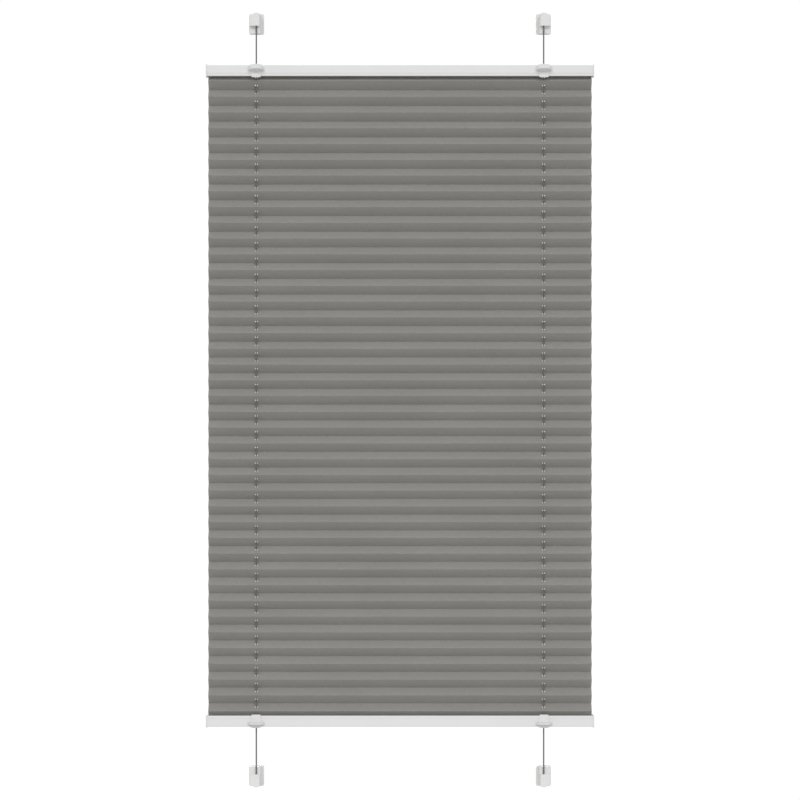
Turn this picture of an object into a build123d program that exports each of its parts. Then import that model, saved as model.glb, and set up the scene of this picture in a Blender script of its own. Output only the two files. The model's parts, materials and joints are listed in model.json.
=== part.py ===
from build123d import *
import math
import os

# A no-drill pleated blind. Four stick-on brackets hold two taut vertical cords against the window.
# A head rail and a bottom rail slide along the cords, and one pleated fabric hangs between them.
# Millimetres. X runs along the rails, +Y points at the window, +Z is up.
# The origin lies in the window's plane, midway between the four brackets.

# Overall
rail_width = 500.0            # over both end caps
overall_height = 998.2        # from shoe tip to shoe tip
head_rail_inset = 67.9        # upper shoe tips down to the top of the head rail
bottom_rail_inset = 78.5      # lower shoe tips up to the underside of the bottom rail

# Rails
rail_depth = 20.0
rail_height = 14.2
rail_wall = 1.2
rail_corner = 1.2
rail_mouth = 12.0             # the slot that the fabric goes into
groove_inset = 3.2            # decorative groove, from the fabric side of the rail
groove_height = 0.5
groove_depth = 0.35
rail_to_window = 4.0          # free space behind the rails

# End caps
cap_thickness = 1.6
cap_proud_z = 1.1
cap_proud_y = 0.6
cap_corner = 2.0
cap_plug_length = 8.0
cap_plug_wall = 1.6

# Cords
cord_diameter = 1.8
cord_inset = 64.7             # cord to the nearer end of the rail
crossing_spread = 1.1         # each crossing cord to the middle of the rail

# Fabric
fabric_side_gap = 1.35        # fabric to the inner face of an end cap
fabric_thickness = 0.4
pleat_pitch = 20.293
pleat_depth = 11.1
first_ridge_drop = 5.8        # head rail to the first front ridge
cord_hole_width = 3.4
cord_hole_depth = 2.5         # front to back, so round in the flat cloth

# Retaining strips and cord guides inside the rails
strip_thickness = 1.4
strip_end_gap = 0.6
guide_length = 16.0
guide_collar_wall = 1.0
crossing_slot_height = 2.6

# Handles
handle_wall = 1.4
handle_width_fabric_side = 11.3
handle_width_lip = 13.0
handle_crown_width = 16.4
handle_crown = 1.5
handle_top_reach = 13.5       # how far the crown leg reaches back over the rail
handle_hook_reach = 3.4       # how far the hook reaches back under the rail
lip_width = 20.3
lip_reach = 10.6
lip_root_low = 0.1            # heights above the middle of the rail
lip_root_high = 4.6
lip_tip_low = 2.1
lip_tip_high = 3.4

# Brackets
plate_width = 19.3
plate_height = 26.5
plate_thickness = 3.0
plate_corner = 2.5
plate_below_tip = 0.4         # shoe tip past the outer end of the plate
pad_thickness = 1.0
pad_inset = 1.2
rib_thickness = 1.2
rib_height = 2.4
rib_gap = 7.5
rib_end_inset = 1.2
rib_clearance = 0.15          # rib to the shoe that slides onto it

# Tension shoes
shoe_outer = 8.7              # cord to the outer flank
shoe_inner = 6.0              # cord to the foot of the inner flank
shoe_length = 16.6
shoe_front = 18.6             # front of the shoe, from the window
shoe_crown = 3.0
shoe_face_width = 12.9        # front face, flush with the outer flank
shoe_edge_radius = 0.8
tongue_clearance = 0.25       # tongue to the wall of the bore in front of it
tongue_foot_inset = 0.5       # tongue to the inner end of the plate
knot_pocket_depth = 6.5
knot_diameter = 4.0
knot_length = 4.0

# Clearances
fit = 0.05                    # between pieces that clip or slide together once
soft_gap = 0.3                # fabric to its neighbours
cord_clearance = 0.55         # cord to the wall of each hole that runs along it
knot_clearance = 0.4

# Worked out
half_height = overall_height / 2
rail_axis_y = -(rail_to_window + rail_depth / 2)
rail_front_y = rail_axis_y - rail_depth / 2
head_rail_z = half_height - head_rail_inset - rail_height / 2
bottom_rail_z = -half_height + bottom_rail_inset + rail_height / 2
profile_length = rail_width - 2 * cap_thickness
cavity_depth = rail_depth - 2 * rail_wall
cavity_height = rail_height - 2 * rail_wall
cord_x = rail_width / 2 - cord_inset
cord_radius = cord_diameter / 2
cord_bore = cord_radius + cord_clearance
fabric_width = profile_length - 2 * fabric_side_gap
fabric_top = head_rail_z - rail_height / 2 + rail_wall - soft_gap
fabric_foot = bottom_rail_z + rail_height / 2 - rail_wall + soft_gap
first_ridge_z = head_rail_z - rail_height / 2 - first_ridge_drop
pleat_rise = pleat_pitch / 2
crease_count = math.ceil((first_ridge_z - fabric_foot) / pleat_rise - 0.01)
pleat_face_length = math.hypot(pleat_rise, pleat_depth)
plate_back_y = -pad_thickness
plate_front_y = plate_back_y - plate_thickness
plate_outer_z = half_height - plate_below_tip
shoe_inner_z = half_height - shoe_length
pocket_floor_z = half_height - knot_pocket_depth
tongue_front_y = rail_axis_y + cord_bore + tongue_clearance
tongue_foot_z = plate_outer_z - plate_height + tongue_foot_inset

SIDES = {"left": -1, "right": 1}
RAILS = {"head_rail": (head_rail_z, 1), "bottom_rail": (bottom_rail_z, -1)}
LEVELS = {"upper": 1, "lower": -1}


def save(name, shape):
    shape.label = name
    export_step(shape, f"parts/{name}.step")


def along_x(sketch, length):
    """A section drawn in Y and Z, made length long about X = 0."""
    return extrude(Plane.YZ * sketch, amount=length / 2, both=True)


def along_y(sketch, front, back):
    """An outline drawn in X and Z, running from front to back."""
    return Pos(0, back, 0) * extrude(Plane.XZ * sketch, amount=back - front)


def upright(x, y, radius, low, high):
    return Pos(x, y, (low + high) / 2) * Cylinder(radius, high - low)


def fabric_side_down(shape, flip):
    """A piece of the head rail as it is, or turned over for the bottom rail."""
    return shape if flip > 0 else mirror(shape, about=Plane.XY)


# Each rail piece is drawn about the middle of its rail, with the fabric below it.

def rail_profile():
    section = RectangleRounded(rail_depth, rail_height, rail_corner)
    section -= Rectangle(cavity_depth, cavity_height)
    section -= Pos(0, -rail_height / 2) * Rectangle(rail_mouth, 4 * rail_wall)
    for face in (-1, 1):
        groove = Rectangle(2 * groove_depth, groove_height)
        section -= Pos(face * rail_depth / 2, groove_inset - rail_height / 2) * groove
    rail = Pos(0, rail_axis_y, 0) * along_x(section, profile_length)
    for side in SIDES.values():
        collar_hole = cord_bore + guide_collar_wall + fit
        rail -= upright(side * cord_x, rail_axis_y, collar_hole, 0, rail_height)
    return rail


def end_cap(side):
    plate = RectangleRounded(rail_depth + 2 * cap_proud_y, rail_height + 2 * cap_proud_z, cap_corner)
    cap = Pos(side * (rail_width - cap_thickness) / 2, rail_axis_y, 0) * along_x(plate, cap_thickness)
    cap = chamfer(cap.faces().sort_by(Axis.X)[-1 if side > 0 else 0].edges(), 0.4)
    plug_depth = cavity_depth - 2 * fit
    plug_height = cavity_height - 2 * fit
    ring = Rectangle(plug_depth, plug_height)
    ring -= Rectangle(plug_depth - 2 * cap_plug_wall, plug_height - 2 * cap_plug_wall)
    plug_x = side * (profile_length - cap_plug_length) / 2
    return cap + Pos(plug_x, rail_axis_y, 0) * along_x(ring, cap_plug_length)


def retaining_strip():
    length = profile_length - 2 * (cap_plug_length + strip_end_gap)
    middle = -cavity_height / 2 + strip_thickness / 2
    strip = Pos(0, rail_axis_y, middle) * Box(length, cavity_depth - 2 * fit, strip_thickness)
    for side in SIDES.values():
        strip -= upright(side * cord_x, rail_axis_y, cord_bore, -rail_height, 0)
    return strip


def cord_guide(side):
    """Bush under the rail's top wall, slotted inwards for the cords that cross to the other guide."""
    low = -cavity_height / 2 + strip_thickness + fit
    high = cavity_height / 2 - fit
    block = Box(guide_length, cavity_depth - 2 * fit, high - low)
    guide = Pos(side * cord_x, rail_axis_y, (low + high) / 2) * block
    guide += upright(side * cord_x, rail_axis_y, cord_bore + guide_collar_wall, 0, rail_height / 2)
    guide -= upright(side * cord_x, rail_axis_y, cord_bore, -rail_height, rail_height)
    slot_depth = 2 * (crossing_spread + cord_radius + cord_clearance)
    slot = Box(guide_length, slot_depth, crossing_slot_height)
    return guide - Pos(side * (cord_x - guide_length / 2), rail_axis_y, 0) * slot


def crossing_cord(place):
    """One of the two cord runs inside a rail, from just inside one upright cord to just inside the other."""
    length = 2 * (cord_x - cord_radius - soft_gap)
    run = Rotation(0, 90, 0) * Cylinder(cord_radius, length)
    return Pos(0, rail_axis_y + place * crossing_spread, 0) * run


def handle(side):
    """Clip with a grip lip: it hooks under the rail's front edge and covers the cord's way in at the top."""
    top = rail_height / 2
    foot = -top - handle_wall
    front = rail_front_y - handle_wall
    crown = top + handle_crown
    outline = make_face(
        Polyline(
            (handle_crown_width / 2, top),
            (handle_crown_width / 2, top - 1.0),
            (handle_width_lip / 2, top - 3.2),
            (handle_width_lip / 2, lip_root_low),
            (handle_width_fabric_side / 2, foot),
            (-handle_width_fabric_side / 2, foot),
            (-handle_width_lip / 2, lip_root_low),
            (-handle_width_lip / 2, top - 3.2),
            (-handle_crown_width / 2, top - 1.0),
            (-handle_crown_width / 2, top),
        )
        + ThreePointArc((-handle_crown_width / 2, top), (0, crown), (handle_crown_width / 2, top))
    )
    clip = along_y(outline, front, rail_front_y + handle_top_reach)
    rail_room = RectangleRounded(rail_depth + 2 * fit, rail_height + 2 * fit, rail_corner)
    clip -= Pos(0, rail_axis_y, 0) * along_x(rail_room, 2 * handle_crown_width)
    behind_hook = rail_front_y + handle_hook_reach
    clip -= Pos(0, behind_hook + rail_depth / 2, foot) * Box(2 * lip_width, rail_depth, rail_height)
    lip_section = make_face(
        Polyline(
            (rail_front_y - fit, lip_root_low),
            (rail_front_y - lip_reach, lip_tip_low),
            (rail_front_y - lip_reach, lip_tip_high),
            (rail_front_y - fit, lip_root_high),
            close=True,
        )
    )
    lip_plan = Pos(0, rail_front_y - lip_reach + lip_width / 2) * Circle(lip_width / 2)
    straight = lip_reach - lip_width / 2 - fit
    lip_plan += Pos(0, rail_front_y - fit - straight / 2) * Rectangle(lip_width, straight)
    lip_plan -= Pos(0, rail_front_y - fit + lip_width / 2) * Rectangle(2 * lip_width, lip_width)
    lip = along_x(lip_section, 2 * lip_width) & extrude(lip_plan, amount=rail_height, both=True)
    clip = clip + lip
    clip -= upright(0, rail_axis_y, cord_bore, 0, rail_height)
    return Pos(side * cord_x, 0, 0) * clip


def pleated_fabric():
    """One sheet folded to and fro, with an oval cord hole in the middle of every pleat face at each cord."""
    skew = fabric_thickness / 2 * pleat_face_length / pleat_rise
    front = rail_axis_y - pleat_depth / 2
    creases = [first_ridge_z - n * pleat_rise for n in range(crease_count)]
    spine = []
    for z in [fabric_top, *creases, fabric_foot]:
        way_back = abs(math.remainder((first_ridge_z - z) / pleat_rise, 2))
        spine.append((front + pleat_depth * way_back, z))
    near = [(y - skew, z) for y, z in spine]
    far = [(y + skew, z) for y, z in reversed(spine)]
    sheet = along_x(make_face(Polyline(*near, *far, close=True)), fabric_width)
    for side in SIDES.values():
        punch = SlotOverall(cord_hole_width, cord_hole_depth)
        sheet -= Pos(side * cord_x, rail_axis_y, 0) * extrude(punch, amount=overall_height / 2, both=True)
    return sheet


# Each bracket piece is drawn at the upper end of the right-hand cord, and mirrored to the other three places.

def base_plate():
    middle_z = plate_outer_z - plate_height / 2
    outline = Pos(0, middle_z) * RectangleRounded(plate_width, plate_height, plate_corner)
    plate = along_y(outline, plate_front_y, plate_back_y)
    for side in (-1, 1):
        rib = Box(rib_thickness, rib_height, plate_height - 2 * rib_end_inset)
        rib_x = side * (rib_gap + rib_thickness) / 2
        plate += Pos(rib_x, plate_front_y - rib_height / 2, middle_z) * rib
    return plate


def adhesive_pad():
    middle_z = plate_outer_z - plate_height / 2
    size = plate_width - 2 * pad_inset, plate_height - 2 * pad_inset
    outline = Pos(0, middle_z) * RectangleRounded(*size, plate_corner - pad_inset)
    return along_y(outline, plate_back_y, 0)


def tension_shoe():
    """Block that slides onto the base plate's ribs and pulls the cord tight. Its inner flank leans away.

    Behind the cord it runs on as a tongue, to the inner end of the plate.
    """
    shoulder = half_height - shoe_crown
    outline = make_face(
        Polyline(
            (shoe_inner, shoulder),
            (shoe_outer, shoulder),
            (shoe_outer, shoe_inner_z),
            (-shoe_inner, shoe_inner_z),
            (-shoe_inner, shoulder),
        )
        + ThreePointArc((-shoe_inner, shoulder), (0, half_height), (shoe_inner, shoulder))
    )
    block = along_y(outline, -shoe_front, plate_front_y)
    tongue = Pos((shoe_outer - shoe_inner) / 2, (tongue_foot_z + shoulder) / 2)
    tongue *= Rectangle(shoe_outer + shoe_inner, shoulder - tongue_foot_z)
    block += along_y(tongue, tongue_front_y, plate_front_y)
    plan = make_face(
        Polyline(
            (-shoe_inner, plate_front_y),
            (-shoe_inner, plate_front_y - rib_height),
            (shoe_outer - shoe_face_width, -shoe_front),
            (shoe_outer, -shoe_front),
            (shoe_outer, plate_front_y),
            close=True,
        )
    )
    corners = plan.vertices().sort_by(Axis.Y)[:2]
    plan = fillet(corners, shoe_edge_radius)
    block &= extrude(plan, amount=overall_height)
    room_width = 2 * (rib_thickness + rib_clearance) + rib_gap
    room_depth = rib_height + rib_clearance
    room_top = plate_outer_z - rib_end_inset + rib_clearance
    rib_room = Box(room_width, room_depth, room_top - tongue_foot_z + 1)
    block -= Pos(0, plate_front_y - room_depth / 2, (room_top + tongue_foot_z - 1) / 2) * rib_room
    block -= upright(0, rail_axis_y, cord_bore, shoe_inner_z - 1, pocket_floor_z + 1)
    pocket = knot_diameter / 2 + knot_clearance
    return block - upright(0, rail_axis_y, pocket, pocket_floor_z, half_height + 1)


def cord_knot():
    bead = upright(0, rail_axis_y, knot_diameter / 2, pocket_floor_z, pocket_floor_z + knot_length)
    bead = fillet(bead.edges(), knot_length / 4)
    return bead - upright(0, rail_axis_y, cord_radius, pocket_floor_z - 1, pocket_floor_z + knot_length + 1)


def at_bracket(shape, level, side):
    if side < 0:
        shape = mirror(shape, about=Plane.YZ)
    if level < 0:
        shape = mirror(shape, about=Plane.XY)
    return Pos(side * cord_x, 0, 0) * shape


def upright_cord(side):
    """Taut from the knot in the upper shoe to the knot in the lower one."""
    end = pocket_floor_z + knot_length
    return upright(side * cord_x, rail_axis_y, cord_radius, -end, end)


os.makedirs("parts", exist_ok=True)

for rail_name, (rail_z, flip) in RAILS.items():
    pieces = {
        f"{rail_name}_profile": rail_profile(),
        f"{rail_name}_retaining_strip": retaining_strip(),
        f"{rail_name}_crossing_cord_front": crossing_cord(-1),
        f"{rail_name}_crossing_cord_rear": crossing_cord(1),
    }
    for side_name, side in SIDES.items():
        pieces[f"{rail_name}_{side_name}_end_cap"] = end_cap(side)
        pieces[f"{rail_name}_{side_name}_cord_guide"] = cord_guide(side)
        pieces[f"{rail_name}_{side_name}_handle"] = handle(side)
    for name, piece in pieces.items():
        save(name, Pos(0, 0, rail_z) * fabric_side_down(piece, flip))

for side_name, side in SIDES.items():
    save(f"{side_name}_upright_cord", upright_cord(side))
    for level_name, level in LEVELS.items():
        corner = f"{level_name}_{side_name}"
        save(f"{corner}_base_plate", at_bracket(base_plate(), level, side))
        save(f"{corner}_adhesive_pad", at_bracket(adhesive_pad(), level, side))
        save(f"{corner}_tension_shoe", at_bracket(tension_shoe(), level, side))
        save(f"{corner}_cord_knot", at_bracket(cord_knot(), level, side))

save("pleated_fabric", pleated_fabric())

print("pleat faces", crease_count + 1, "fabric drop", round(fabric_top - fabric_foot, 1))
print("flat length", round((fabric_top - fabric_foot) * pleat_face_length / pleat_rise))
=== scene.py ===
import json
import math

import bmesh
import bpy
import numpy as np
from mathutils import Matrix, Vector


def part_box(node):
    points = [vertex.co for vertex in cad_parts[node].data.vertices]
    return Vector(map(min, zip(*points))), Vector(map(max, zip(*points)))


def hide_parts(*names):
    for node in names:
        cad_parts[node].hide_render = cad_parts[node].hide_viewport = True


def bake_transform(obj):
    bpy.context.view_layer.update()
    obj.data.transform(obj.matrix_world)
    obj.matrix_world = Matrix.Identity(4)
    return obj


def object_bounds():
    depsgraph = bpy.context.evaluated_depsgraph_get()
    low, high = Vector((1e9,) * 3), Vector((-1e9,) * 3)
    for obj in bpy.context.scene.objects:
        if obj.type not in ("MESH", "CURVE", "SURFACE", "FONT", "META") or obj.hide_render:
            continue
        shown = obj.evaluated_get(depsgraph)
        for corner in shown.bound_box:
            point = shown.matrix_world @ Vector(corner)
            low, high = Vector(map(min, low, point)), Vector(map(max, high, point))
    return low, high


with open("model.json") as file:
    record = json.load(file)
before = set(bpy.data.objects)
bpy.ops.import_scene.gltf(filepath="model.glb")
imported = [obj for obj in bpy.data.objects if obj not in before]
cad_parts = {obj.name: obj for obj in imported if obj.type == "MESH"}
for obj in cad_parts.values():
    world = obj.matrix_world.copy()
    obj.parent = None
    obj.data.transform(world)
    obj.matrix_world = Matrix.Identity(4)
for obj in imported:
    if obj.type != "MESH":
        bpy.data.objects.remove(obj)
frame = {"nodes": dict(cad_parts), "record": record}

cad_low, cad_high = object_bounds()

# ---------------------------------------------------------------- sizes, in metres

MM = 0.001
FIXINGS, HEAD, BOTTOM = "window_fixings", "head_rail", "bottom_rail"

head_low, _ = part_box("head_rail_profile")
cloth_low, cloth_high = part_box("pleated_fabric")
cord_low, cord_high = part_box("right_upright_cord")

cord_x = (cord_low.x + cord_high.x) / 2
cord_y = (cord_low.y + cord_high.y) / 2

# The cloth's folds
PLEAT_PITCH = 20.293 * MM
PLEAT_DEPTH = 11.1 * MM
FIRST_RIDGE_DROP = 5.8 * MM    # from the head rail down to the first front ridge
BACK_CREASE = 0.555            # of a pitch below each ridge: past the middle, as the cloth's weight draws it
CLOTH_THICKNESS = 0.4 * MM
FOLD_RADIUS = 0.22 * MM        # of the cloth's middle surface at each crease
FOLD_STEPS = 4                 # mesh steps round each crease

# The cloth's cord holes
HOLE = 3.4 * MM                # across, round in the flat cloth
PATCH_WIDTH = 9.0 * MM         # the piece of mesh that carries each hole
PATCH_HEIGHT = 5.2 * MM        # along the slanting pleat face
RING_SIDE = 4                  # mesh steps along each side of that piece
RING_SHARES = (0.35, 1.0)      # how far each ring of mesh lies from the patch's edge to the hole's
CLOTH_STEP = 20.0 * MM         # widest mesh step along the rails

# The cloth's weave
THREAD_PITCH = 0.42 * MM
SLUB_LONG = 90.0               # slubs to the metre along a thread
SLUB_SHORT = 2600.0            # and across it
CLOTH_DARK = (0.370, 0.363, 0.342)
CLOTH_MIDDLE = (0.432, 0.423, 0.400)
CLOTH_LIGHT = (0.495, 0.486, 0.461)
LIGHT_THROUGH_CLOTH = 0.35

# The cord's braid
STRANDS = 8.0
BRAID_LAY = 2.2 * MM           # along the cord, for one full wave of the strands

# Light and camera
ROOM_LIGHT = 0.58
ROOM_SEEN = 1.02               # just past white, so that the ground has no tone of its own
KEY_SIDEWAYS = math.radians(25)
KEY_HEIGHT = math.radians(32)
KEY_STRENGTH = 0.65
KEY_SPREAD = math.radians(18)
REAR_TOWARDS = (0.2, -1.0, -0.3)
REAR_STRENGTH = 0.9
REAR_SPREAD = math.radians(30)
FLOOR_SIZE = 8.0
FLOOR_DROP = 1.0               # from the foot of the blind down to the floor
CAMERA_DISTANCE = 4.8          # from the front of the rails
VIEW_WIDTH = 1.0296            # seen across the picture at the front of the rails
SENSOR = 36.0                  # in millimetres, as the lens is
FAR_CLIP = 50.0

# ---------------------------------------------------------------- materials


class Nodes:
    """A material's node tree, with one call for each node."""

    def __init__(self, name):
        self.material = bpy.data.materials.new(name)
        self.material.use_nodes = True
        self.tree = self.material.node_tree
        self.tree.nodes.clear()
        self.shader = self.add("ShaderNodeBsdfPrincipled")
        self.output = self.add("ShaderNodeOutputMaterial")
        self.link(self.shader.outputs["BSDF"], self.output.inputs["Surface"])

    def add(self, kind, **settings):
        node = self.tree.nodes.new(kind)
        for key, value in settings.items():
            setattr(node, key, value)
        return node

    def link(self, start, end):
        self.tree.links.new(start, end)

    def put(self, value, socket):
        """Links an output to the socket, or sets a plain number there."""
        if isinstance(value, bpy.types.NodeSocket):
            self.link(value, socket)
        else:
            socket.default_value = value

    def math(self, operation, *values):
        node = self.add("ShaderNodeMath", operation=operation)
        for value, socket in zip(values, node.inputs):
            self.put(value, socket)
        return node.outputs[0]

    def place(self):
        return self.add("ShaderNodeTexCoord").outputs["Object"]

    def parts(self, vector):
        split = self.add("ShaderNodeSeparateXYZ")
        self.link(vector, split.inputs[0])
        return split.outputs

    def stretched(self, vector, scale):
        mapping = self.add("ShaderNodeMapping")
        self.link(vector, mapping.inputs["Vector"])
        mapping.inputs["Scale"].default_value = scale
        return mapping.outputs[0]

    def noise(self, vector, scale, detail=2.0, roughness=0.5):
        """Noise with about this many cells to the metre."""
        node = self.add("ShaderNodeTexNoise")
        self.link(vector, node.inputs["Vector"])
        node.inputs["Scale"].default_value = scale
        node.inputs["Detail"].default_value = detail
        node.inputs["Roughness"].default_value = roughness
        return node.outputs["Fac"]

    def span(self, value, low, high, start=0.0, end=1.0):
        """Carries start to end over to low to high."""
        node = self.add("ShaderNodeMapRange")
        self.link(value, node.inputs["Value"])
        node.inputs["From Min"].default_value = start
        node.inputs["From Max"].default_value = end
        node.inputs["To Min"].default_value = low
        node.inputs["To Max"].default_value = high
        return node.outputs["Result"]

    def colours(self, factor, *stops):
        """A ramp through (place, colour) stops."""
        node = self.add("ShaderNodeValToRGB")
        self.link(factor, node.inputs["Fac"])
        ramp = node.color_ramp
        while len(ramp.elements) < len(stops):
            ramp.elements.new(0.5)
        for element, (where, colour) in zip(ramp.elements, stops):
            element.position = where
            element.color = (*colour, 1.0)
        return node.outputs["Color"]

    def bump(self, height, distance, strength):
        node = self.add("ShaderNodeBump")
        node.inputs["Strength"].default_value = strength
        node.inputs["Distance"].default_value = distance
        self.link(height, node.inputs["Height"])
        self.link(node.outputs["Normal"], self.shader.inputs["Normal"])

    def paint(self, colour):
        self.link(colour, self.shader.inputs["Base Color"])

    def let_light_through(self, colour, share):
        """Mixes a translucent layer in, as in thin cloth."""
        veil = self.add("ShaderNodeBsdfTranslucent")
        self.link(colour, veil.inputs["Color"])
        mix = self.add("ShaderNodeMixShader")
        mix.inputs["Fac"].default_value = share
        self.link(self.shader.outputs["BSDF"], mix.inputs[1])
        self.link(veil.outputs[0], mix.inputs[2])
        self.link(mix.outputs[0], self.output.inputs["Surface"])


def shade(grey, tint=(1.0, 1.0, 1.0)):
    return tuple(grey * t for t in tint)


def coated_aluminium():
    """White powder coat over an extrusion: a fine orange peel, and faint draw lines along the rail."""
    m = Nodes("coated_aluminium")
    place = m.place()
    cloud = m.noise(place, scale=14.0, detail=3.0)
    lines = m.noise(m.stretched(place, (6.0, 900.0, 900.0)), scale=1.0)
    peel = m.noise(place, scale=1900.0)
    m.paint(m.colours(cloud, (0.3, shade(0.78)), (0.7, shade(0.81))))
    m.link(m.span(peel, low=0.36, high=0.48), m.shader.inputs["Roughness"])
    height = m.math("ADD", m.math("MULTIPLY", lines, 0.35), peel)
    m.bump(height, distance=0.012 * MM, strength=0.6)
    return m.material


def moulded_plastic(name, grey, rough, tint=(1.0, 1.0, 0.99)):
    """Moulded plastic with a fine spark-eroded grain."""
    m = Nodes(name)
    place = m.place()
    cloud = m.noise(place, scale=60.0)
    grain = m.noise(place, scale=4200.0, detail=3.0, roughness=0.6)
    low, high = shade(grey * 0.98, tint), shade(grey * 1.02, tint)
    m.paint(m.colours(cloud, (0.3, low), (0.7, high)))
    m.link(m.span(grain, low=rough - 0.05, high=rough + 0.08), m.shader.inputs["Roughness"])
    m.shader.inputs["Subsurface Weight"].default_value = 0.08
    m.shader.inputs["Subsurface Scale"].default_value = 1.0 * MM
    m.bump(grain, distance=0.01 * MM, strength=0.5)
    return m.material


def foam_tape():
    """Closed-cell foam, seen at the edges of the adhesive pads."""
    m = Nodes("foam_tape")
    cells = m.noise(m.place(), scale=3000.0, detail=3.0)
    m.paint(m.colours(cells, (0.3, shade(0.55)), (0.7, shade(0.68))))
    m.shader.inputs["Roughness"].default_value = 0.85
    m.bump(cells, distance=0.08 * MM, strength=0.8)
    return m.material


def braided_cord():
    """Dark braid, wound round the axis of whichever upright cord it is on, with painted shade in the grooves
    between its strands.
    """
    m = Nodes("upright_cord_braid")
    x, y, z = m.parts(m.place())
    sideways = m.math("SUBTRACT", m.math("ABSOLUTE", x), cord_x)
    inward = m.math("SUBTRACT", y, cord_y)
    angle = m.math("ARCTAN2", inward, sideways)
    turn = m.math("MULTIPLY", angle, STRANDS)
    run = m.math("MULTIPLY", z, 2.0 * math.pi / BRAID_LAY)
    rising = m.math("SINE", m.math("ADD", turn, run))
    falling = m.math("SINE", m.math("SUBTRACT", turn, run))
    braid = m.math("MAXIMUM", rising, falling)
    height = m.span(braid, low=0.0, high=1.0, start=-1.0, end=1.0)
    fibre = m.noise(m.place(), scale=5000.0)
    # Colour follows the strand height: the grooves between strands get painted shade, and the fibre noise
    # adds a real tone that differs at random.
    tone = m.math("MULTIPLY", height, m.span(fibre, low=0.8, high=1.2))
    m.paint(m.colours(tone, (0.2, shade(0.08)), (1.0, shade(0.16))))
    m.shader.inputs["Roughness"].default_value = 0.7
    m.shader.inputs["Sheen Weight"].default_value = 0.15
    m.bump(height, distance=0.12 * MM, strength=0.8)
    return m.material


def pleated_cloth():
    """Plain weave in warm grey, drawn in the flat cloth's own coordinates, so it follows every fold."""
    m = Nodes("pleated_cloth")
    flat = m.add("ShaderNodeUVMap", uv_map="flat_cloth").outputs[0]
    across, down, _ = m.parts(flat)
    half_turn = math.pi / THREAD_PITCH
    weft = m.math("SINE", m.math("MULTIPLY", down, half_turn))
    warp = m.math("SINE", m.math("MULTIPLY", across, half_turn))
    over = m.math("MULTIPLY", weft, warp)
    threads = m.math("ADD", m.math("ABSOLUTE", weft), m.math("ABSOLUTE", warp))
    height = m.math("ADD", m.math("MULTIPLY", threads, 0.5), m.math("MULTIPLY", over, 0.35))
    weft_slub = m.noise(m.stretched(flat, (SLUB_LONG, SLUB_SHORT, 1.0)), scale=1.0, detail=3.0)
    warp_slub = m.noise(m.stretched(flat, (SLUB_SHORT, SLUB_LONG, 1.0)), scale=1.0, detail=3.0)
    cloud = m.noise(flat, scale=9.0, detail=3.0)
    slub = m.math("ADD", weft_slub, warp_slub)
    tone = m.math("ADD", m.math("MULTIPLY", slub, 0.42), m.math("MULTIPLY", cloud, 0.16))
    # The crossings that the bump raises are painted a little lighter: a painted highlight on the raised
    # threads.
    tone = m.math("ADD", tone, m.math("MULTIPLY", over, 0.05))
    colour = m.colours(tone, (0.3, CLOTH_DARK), (0.5, CLOTH_MIDDLE), (0.7, CLOTH_LIGHT))
    m.paint(colour)
    m.shader.inputs["Roughness"].default_value = 0.86
    m.shader.inputs["Sheen Weight"].default_value = 0.08
    m.shader.inputs["Sheen Roughness"].default_value = 0.5
    m.shader.inputs["Specular IOR Level"].default_value = 0.25
    m.bump(height, distance=0.05 * MM, strength=0.5)
    m.let_light_through(colour, LIGHT_THROUGH_CLOTH)
    return m.material


upright_braid = braided_cord()
cloth_weave = pleated_cloth()

MILKY = (1.0, 0.995, 0.98)

# The cord slot's finish here is plain: it is for the crossing runs and the knots, hidden in rails and shoes
FINISHES = {
    "coated_aluminium": coated_aluminium(),
    "white_plastic": moulded_plastic("white_plastic", grey=0.79, rough=0.36),
    "guide_plastic": moulded_plastic("guide_plastic", grey=0.68, rough=0.45),
    "clear_strip_plastic": moulded_plastic("clear_strip_plastic", grey=0.66, rough=0.5, tint=MILKY),
    "adhesive_foam": foam_tape(),
    "cord": moulded_plastic("crossing_cord", grey=0.10, rough=0.7),
    "pleated_cloth": cloth_weave,
}


def finish_of(node, slot):
    if "upright_cord" in node:
        return upright_braid
    return FINISHES[slot]


# ---------------------------------------------------------------- the carried-over CAD pieces

for subpart in frame["record"]["subparts"]:
    piece = frame["nodes"][subpart["node"]]
    for slot in piece.material_slots:
        slot.material = finish_of(subpart["node"], subpart["material_slot"])

# ---------------------------------------------------------------- the pleated cloth

first_ridge = head_low.z - FIRST_RIDGE_DROP
cloth_middle_y = (cloth_low.y + cloth_high.y) / 2
# The CAD sheet is deeper than its middle surface by its thickness along Y
crease_slope = math.atan2(PLEAT_PITCH / 2, PLEAT_DEPTH)
fold_depth = cloth_high.y - cloth_low.y - CLOTH_THICKNESS / math.sin(crease_slope)
front_y = cloth_middle_y - fold_depth / 2


def crease(n):
    """The n-th crease as (y, z): the even ones are front ridges, the odd ones back creases."""
    below = (n // 2 + (n % 2) * BACK_CREASE) * PLEAT_PITCH
    return front_y + (n % 2) * fold_depth, first_ridge - below


def on_face(n, z):
    """The point at height z of the line from crease n to the next one."""
    (y_0, z_0), (y_1, z_1) = crease(n), crease(n + 1)
    return y_0 + (y_1 - y_0) * (z - z_0) / (z_1 - z_0), z


def zigzag(top, foot):
    """The corners from top to foot, each with the middle of the pleat face below it."""
    first = 0
    while crease(first - 1)[1] < top:
        first -= 1
    corners = [on_face(first - 1, top)]
    middles = [np.mean((crease(first - 1), crease(first)), axis=0)]
    n = first
    while crease(n)[1] > foot:
        corners.append(crease(n))
        middles.append(np.mean((crease(n), crease(n + 1)), axis=0))
        n += 1
    return corners + [on_face(n - 1, foot)], middles


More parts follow.
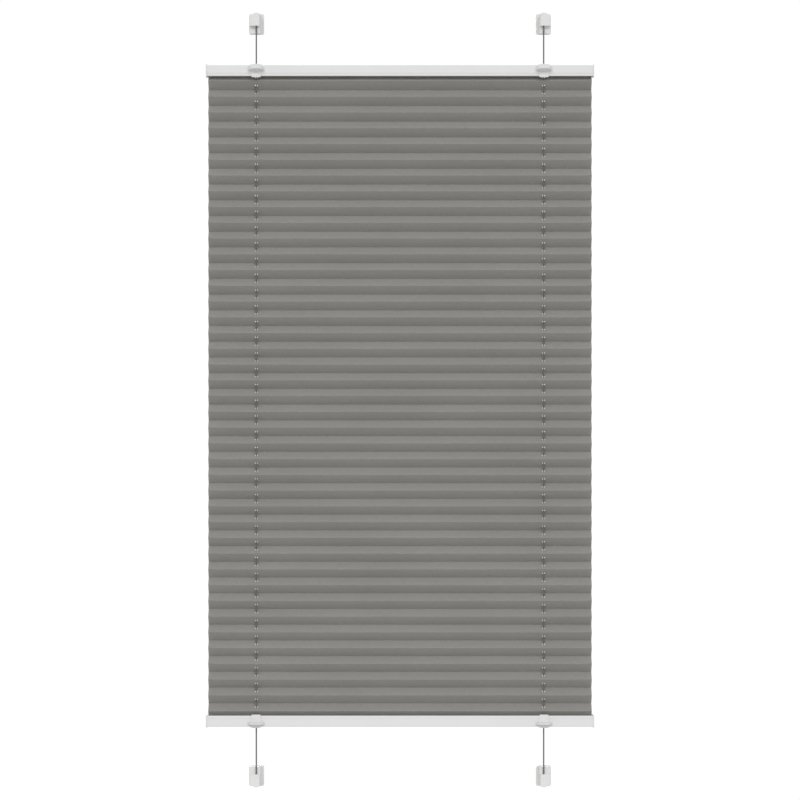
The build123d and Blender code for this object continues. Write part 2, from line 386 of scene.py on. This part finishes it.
def rounded_rows(corners, middles):
    """Mesh rows along the zigzag as (y, z, flat distance, kind).

    Each crease is an arc, and each hole has rows of its own.
    """
    points = [np.array(c) for c in corners]
    rows = []
    for i, (start, end) in enumerate(zip(points, points[1:])):
        way = (end - start) / np.linalg.norm(end - start)
        leave, arrive = start, end
        if i > 0:
            leave = start + way * trim(points[i - 1], start, end)
        if i < len(points) - 2:
            arrive = end - way * trim(start, end, points[i + 2])
        rows.append((leave, "face"))
        for k in range(RING_SIDE + 1):
            rows.append((middles[i] + way * PATCH_HEIGHT * (k / RING_SIDE - 0.5), "hole"))
        rows.append((arrive, "face"))
        if i < len(points) - 2:
            rows += [(p, "crease") for p in crease_points(start, end, points[i + 2])]
    travelled = 0.0
    last = points[0]
    found = []
    for point, kind in rows:
        travelled += float(np.linalg.norm(point - last))
        last = point
        found.append((point[0], point[1], travelled, kind))
    return found


def arms(before, corner, after):
    """The two directions out of a corner, and half the angle between them."""
    a = (before - corner) / np.linalg.norm(before - corner)
    b = (after - corner) / np.linalg.norm(after - corner)
    return a, b, math.acos(max(-1.0, min(1.0, float(a @ b)))) / 2


def trim(before, corner, after):
    """How far from a corner its arc begins."""
    _, _, half = arms(before, corner, after)
    return FOLD_RADIUS / math.tan(half)


def crease_points(before, corner, after):
    """The points inside a crease's arc, without its two ends."""
    a, b, half = arms(before, corner, after)
    bisector = (a + b) / np.linalg.norm(a + b)
    centre = corner + bisector * FOLD_RADIUS / math.sin(half)
    start = corner + a * trim(before, corner, after) - centre
    end = corner + b * trim(before, corner, after) - centre
    whole = math.acos(max(-1.0, min(1.0, float(start @ end) / FOLD_RADIUS**2)))
    found = []
    for k in range(1, FOLD_STEPS):
        t = k / FOLD_STEPS
        turn = (math.sin((1 - t) * whole) * start + math.sin(t * whole) * end) / math.sin(whole)
        found.append(centre + turn)
    return found


def column_lines():
    """X of each mesh column, with the columns of the two hole patches among them."""
    half = (cloth_high.x - cloth_low.x) / 2
    patches = []
    for middle in (-cord_x, cord_x):
        patches.append([middle + PATCH_WIDTH * (k / RING_SIDE - 0.5) for k in range(RING_SIDE + 1)])
    stops = [-half, patches[0][0], patches[0][-1], patches[1][0], patches[1][-1], half]
    lines = []
    for start, end in zip(stops[::2], stops[1::2]):
        steps = max(1, math.ceil((end - start) / CLOTH_STEP))
        lines += [start + (end - start) * k / steps for k in range(steps + 1)]
    for patch in patches:
        lines += patch[1:-1]
    return sorted(lines), patches


def ring_round_square(first_row, first_column):
    """Grid places round a hole's patch, in order."""
    n = RING_SIDE
    return (
        [(first_row, first_column + k) for k in range(n)]
        + [(first_row + k, first_column + n) for k in range(n)]
        + [(first_row + n, first_column + n - k) for k in range(n)]
        + [(first_row + n - k, first_column) for k in range(n)]
    )


def punch_hole(vertices, flat, edge, middle, below):
    """Adds rings of vertices from a patch's edge to its hole's, and gives them all, the edge first.

    The middle of the patch and a vertex straight below it are given by their numbers.
    """
    centre = np.array(vertices[middle])
    down = np.array(vertices[below]) - centre
    down /= np.linalg.norm(down)
    across_0, down_0 = flat[middle]
    rings = [edge]
    for share in RING_SHARES:
        ring = []
        for vertex in edge:
            place = np.array(vertices[vertex]) - centre
            start = np.array([place[0], float(place @ down)])
            target = start / np.linalg.norm(start) * HOLE / 2
            u, v = start + (target - start) * share
            ring.append(len(vertices))
            vertices.append(tuple(centre + np.array([u, 0, 0]) + down * v))
            flat.append((across_0 + u, down_0 + v))
        rings.append(ring)
    return rings


def cloth_half(name, rows):
    """One half of the cloth, as one layer of quads with rings of quads round each punched hole."""
    columns, patches = column_lines()
    vertices = [(x, y, z) for y, z, _, _ in rows for x in columns]
    flat = [(x, s) for _, _, s, _ in rows for x in columns]
    width = len(columns)

    def at(row, column):
        return row * width + column

    patch_columns = [min(range(width), key=lambda c, p=p: abs(columns[c] - p[0])) for p in patches]
    patch_rows = [r for r in range(1, len(rows)) if rows[r][3] == "hole" and rows[r - 1][3] != "hole"]
    corners = sorted((r, c) for r in patch_rows for c in patch_columns)
    inside = {(r + i, c + j) for r, c in corners for i in range(RING_SIDE) for j in range(RING_SIDE)}
    faces = []
    smooth = []
    for r in range(len(rows) - 1):
        in_crease = "crease" in (rows[r][3], rows[r + 1][3])
        for c in range(width - 1):
            if (r, c) not in inside:
                faces.append((at(r, c), at(r, c + 1), at(r + 1, c + 1), at(r + 1, c)))
                smooth.append(in_crease)
    for r, c in corners:
        edge = [at(*place) for place in ring_round_square(r, c)]
        column = c + RING_SIDE // 2
        rings = punch_hole(vertices, flat, edge, at(r + RING_SIDE // 2, column), at(r + RING_SIDE, column))
        for a, b in zip(rings, rings[1:]):
            for k in range(len(a)):
                n = (k + 1) % len(a)
                faces.append((a[k], a[n], b[n], b[k]))
                smooth.append(False)
    mesh = bpy.data.meshes.new(name)
    mesh.from_pydata(vertices, [], faces)
    layer = mesh.uv_layers.new(name="flat_cloth")
    for loop in mesh.loops:
        layer.data[loop.index].uv = flat[loop.vertex_index]
    piece = bpy.data.objects.new(name, mesh)
    bpy.context.scene.collection.objects.link(piece)
    used = {v for face in faces for v in face}
    drop_loose(piece, [v for v in range(len(vertices)) if v not in used])
    mesh.materials.append(cloth_weave)
    mesh.polygons.foreach_set("use_smooth", smooth)
    thick = piece.modifiers.new("cloth_thickness", "SOLIDIFY")
    thick.thickness = CLOTH_THICKNESS
    thick.offset = 0.0
    return piece


def drop_loose(piece, loose):
    """Takes out the vertices inside the patches, which no face uses."""
    mesh = bmesh.new()
    mesh.from_mesh(piece.data)
    mesh.verts.ensure_lookup_table()
    bmesh.ops.delete(mesh, geom=[mesh.verts[v] for v in loose], context="VERTS")
    mesh.to_mesh(piece.data)
    mesh.free()


def close_evenly(piece):
    """Bakes the half's placement into its mesh, and hides the CAD cloth that the halves stand for."""
    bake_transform(piece)
    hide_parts("pleated_fabric")


def meeting_row(rows):
    """The foremost row of the front ridge nearest the middle of the drop, where the halves meet."""
    middle_z = (cloth_high.z + cloth_low.z) / 2
    creases = [n for n, row in enumerate(rows) if row[3] == "crease"]
    ridges = [n for n in creases if rows[n][0] < cloth_middle_y]
    nearest = min(ridges, key=lambda n: abs(rows[n][1] - middle_z))
    return min((n for n in ridges if abs(n - nearest) < FOLD_STEPS), key=lambda n: rows[n][0])


cloth_rows = rounded_rows(*zigzag(cloth_high.z, cloth_low.z))
meet = meeting_row(cloth_rows)
for name, rail, rows, rail_z in (
    ("cloth_upper_half", HEAD, cloth_rows[:meet + 1], cloth_high.z),
    ("cloth_lower_half", BOTTOM, cloth_rows[meet:], cloth_low.z),
):
    half = cloth_half(name, rows)
    close_evenly(half)

# ---------------------------------------------------------------- stage, light and camera


def pale_floor():
    """A floor well below the blind, as under a window."""
    bpy.ops.mesh.primitive_plane_add(size=FLOOR_SIZE, location=(0, 0, cad_low.z - FLOOR_DROP))
    floor = bpy.context.object
    floor.name = "floor"
    m = Nodes("pale_floor")
    cloud = m.noise(m.place(), scale=3.0, detail=3.0)
    m.paint(m.colours(cloud, (0.3, shade(0.78)), (0.7, shade(0.82))))
    m.shader.inputs["Roughness"].default_value = 0.8
    floor.data.materials.append(m.material)


def sun(name, towards, strength, spread):
    """A sun that shines towards a direction, with soft edges from its spread."""
    light = bpy.data.lights.new(name, "SUN")
    light.energy = strength
    light.angle = spread
    lamp = bpy.data.objects.new(name, light)
    bpy.context.scene.collection.objects.link(lamp)
    lamp.rotation_euler = Vector(towards).to_track_quat("-Z", "Y").to_euler()


def background(tree, strength):
    node = tree.nodes.new("ShaderNodeBackground")
    node.inputs["Color"].default_value = (1, 1, 1, 1)
    node.inputs["Strength"].default_value = strength
    return node.outputs[0]


def white_room():
    """A white surround: pure white where the camera sees it, and a soft fill as light."""
    world = bpy.data.worlds.new("white_room")
    bpy.context.scene.world = world
    world.use_nodes = True
    tree = world.node_tree
    tree.nodes.clear()
    path = tree.nodes.new("ShaderNodeLightPath")
    mix = tree.nodes.new("ShaderNodeMixShader")
    out = tree.nodes.new("ShaderNodeOutputWorld")
    tree.links.new(path.outputs["Is Camera Ray"], mix.inputs[0])
    tree.links.new(background(tree, ROOM_LIGHT), mix.inputs[1])
    tree.links.new(background(tree, ROOM_SEEN), mix.inputs[2])
    tree.links.new(mix.outputs[0], out.inputs[0])


def camera():
    """Straight in front of the blind's middle."""
    data = bpy.data.cameras.new("camera")
    data.sensor_width = SENSOR
    data.lens = SENSOR * CAMERA_DISTANCE / VIEW_WIDTH
    data.clip_end = FAR_CLIP
    cam = bpy.data.objects.new("camera", data)
    bpy.context.scene.collection.objects.link(cam)
    cam.location = (0.0, head_low.y - CAMERA_DISTANCE, 0.0)
    cam.rotation_euler = (math.pi / 2, 0.0, 0.0)
    bpy.context.scene.camera = cam


pale_floor()
white_room()
for side in (-1, 1):
    inwards = (side * math.sin(KEY_SIDEWAYS), math.cos(KEY_SIDEWAYS), -math.tan(KEY_HEIGHT))
    sun("key", inwards, KEY_STRENGTH, KEY_SPREAD)
sun("rear_fill", REAR_TOWARDS, REAR_STRENGTH, REAR_SPREAD)
camera()
bpy.context.scene.view_settings.view_transform = "Standard"
